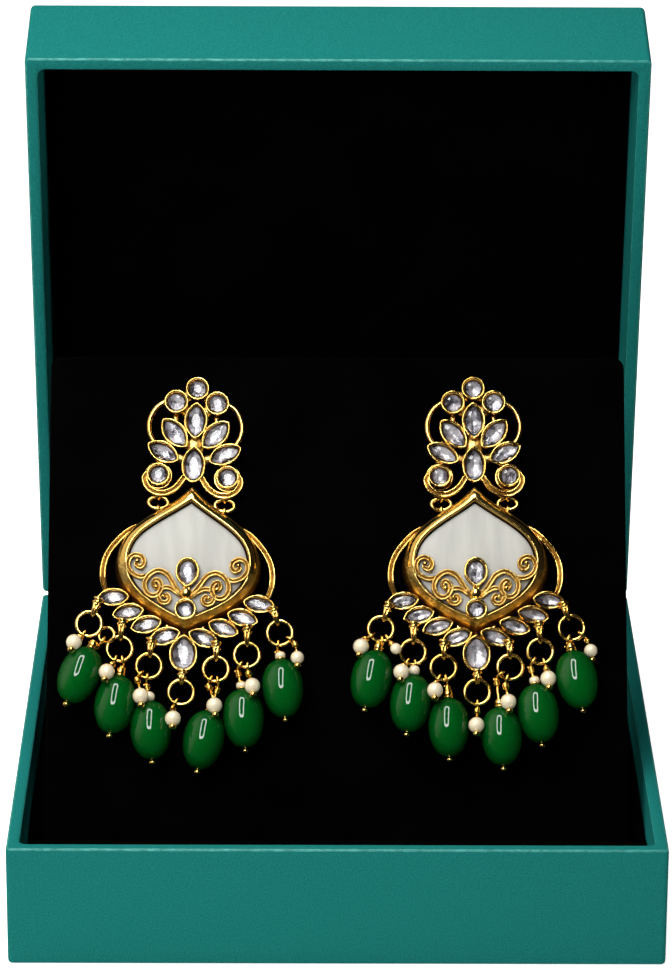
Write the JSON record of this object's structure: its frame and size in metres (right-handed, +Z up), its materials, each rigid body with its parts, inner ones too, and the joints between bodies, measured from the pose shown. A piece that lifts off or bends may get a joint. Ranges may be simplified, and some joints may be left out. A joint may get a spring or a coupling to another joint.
{
  "type": "chandbali earrings in a hinged presentation box",
  "caption": "Pair of crescent drop earrings with set stones, pearl and green bead drops, pinned to a black card in an open hinged teal presentation box.",
  "frame": {"origin": "middle of the tray's underside", "axes": "+Z up, +Y towards the hinge and lid, +X to the viewer's right; the box opens towards -Y"},
  "size_m": [0.125, 0.1517, 0.1545],
  "materials": {
    "gold": "polished warm gold plate with clear stones set in collars",
    "mother_of_pearl": "smooth white mother-of-pearl with a faint sheen",
    "green_stone": "polished deep green, slightly translucent",
    "pearl": "cream pearl lustre",
    "teal_board": "finely grained teal leatherette over rigid board",
    "black_velvet": "matt black velvet",
    "steel": "plain steel"
  },
  "bodies": {
    "base": {"base_tray": "teal_board", "display_card": "black_velvet", "hinge_rod": "steel", "left_ear_nut": "steel", "left_green_drop_1": "green_stone", "left_green_drop_2": "green_stone", "left_green_drop_3": "green_stone", "left_green_drop_4": "green_stone", "left_green_drop_5": "green_stone", "left_green_drop_6": "green_stone", "left_link_inner": "gold", "left_link_outer": "gold", "left_medallion": "gold", "left_pearl_drop_1": "pearl", "left_pearl_drop_2": "pearl", "left_pearl_drop_3": "pearl", "left_pearl_drop_4": "pearl", "left_pearl_drop_5": "pearl", "left_pearl_drop_6": "pearl", "left_pearl_drop_7": "pearl", "left_pearl_inlay": "mother_of_pearl", "left_ring_1": "gold", "left_ring_2": "gold", "left_ring_3": "gold", "left_ring_4": "gold", "left_ring_5": "gold", "left_ring_6": "gold", "left_ring_7": "gold", "left_stud": "gold", "right_ear_nut": "steel", "right_green_drop_1": "green_stone", "right_green_drop_2": "green_stone", "right_green_drop_3": "green_stone", "right_green_drop_4": "green_stone", "right_green_drop_5": "green_stone", "right_green_drop_6": "green_stone", "right_link_inner": "gold", "right_link_outer": "gold", "right_medallion": "gold", "right_pearl_drop_1": "pearl", "right_pearl_drop_2": "pearl", "right_pearl_drop_3": "pearl", "right_pearl_drop_4": "pearl", "right_pearl_drop_5": "pearl", "right_pearl_drop_6": "pearl", "right_pearl_drop_7": "pearl", "right_pearl_inlay": "mother_of_pearl", "right_ring_1": "gold", "right_ring_2": "gold", "right_ring_3": "gold", "right_ring_4": "gold", "right_ring_5": "gold", "right_ring_6": "gold", "right_ring_7": "gold", "right_stud": "gold", "velvet_bed": "black_velvet"},
    "lid": {"lid_shell": "teal_board", "lid_lining": "black_velvet"}
  },
  "joints": [
    {"name": "lid_hinge", "type": "hinge", "parent": "base", "child": "lid", "pos_m": [0, 0.064, 0.02425], "axis": [-1, 0, 0], "range_deg": [-33, 27]}
  ]
}
